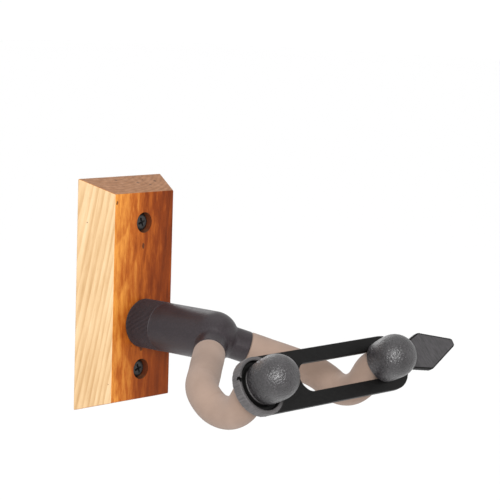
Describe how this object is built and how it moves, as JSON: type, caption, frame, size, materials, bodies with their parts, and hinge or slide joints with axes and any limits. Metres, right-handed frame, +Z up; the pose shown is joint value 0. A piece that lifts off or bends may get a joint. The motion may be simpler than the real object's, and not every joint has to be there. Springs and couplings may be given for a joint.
{
  "type": "wall guitar hanger",
  "caption": "Bevelled hardwood wall block with a swivelling yoke of foam-padded arms, rounded rubber end caps and a slotted rubber strap that closes the gap between them.",
  "frame": {"origin": "on the yoke's swivel axis, in the plane of the block's back face against the wall", "axes": "+X right seen from the room, +Y into the wall, +Z up"},
  "size_m": [0.1573, 0.1889, 0.1192],
  "materials": {
    "hardwood": "oiled",
    "screw_black": "black phosphate",
    "zinc_steel": "bright zinc",
    "spring_steel": "oiled",
    "nylon": "natural",
    "bearing_plastic": "smooth",
    "collar_plastic": "fine ribs",
    "hub_plastic": "satin moulded",
    "rod_steel": "plated",
    "foam": "closed-cell, matt",
    "cap_rubber": "grained",
    "strap_rubber": "moulded, satin"
  },
  "bodies": {
    "block": {"wood_block": "hardwood", "upper_wall_screw": "screw_black", "lower_wall_screw": "screw_black", "pivot_bushing": "bearing_plastic"},
    "yoke": {"pivot_bolt": "zinc_steel", "rear_washer": "zinc_steel", "spring_washer": "spring_steel", "lock_nut": "zinc_steel", "lock_nut_insert": "nylon", "ribbed_collar": "collar_plastic", "yoke_hub": "hub_plastic", "left_arm_rod": "rod_steel", "right_arm_rod": "rod_steel", "left_foam_sleeve": "foam", "right_foam_sleeve": "foam", "left_end_cap": "cap_rubber", "right_end_cap": "cap_rubber"},
    "strap_cup": {"strap_ring": "strap_rubber"},
    "strap": {"strap_loop": "strap_rubber"}
  },
  "joints": [
    {"name": "yoke_swivel", "type": "hinge", "parent": "block", "child": "yoke", "pos_m": [0, 0, 0], "axis": [0, -1, 0], "continuous": true},
    {"name": "strap_turn", "type": "hinge", "parent": "yoke", "child": "strap_cup", "pos_m": [-0.04319, -0.14004, -0.00929], "axis": [0, -0.8746, 0.4848], "continuous": true},
    {"name": "strap_release", "type": "hinge", "parent": "strap_cup", "child": "strap", "pos_m": [-0.02588, -0.14004, -0.00929], "axis": [0, -0.4848, -0.8746], "range_deg": [0, 95], "deforming": ["strap_loop"]}
  ]
}
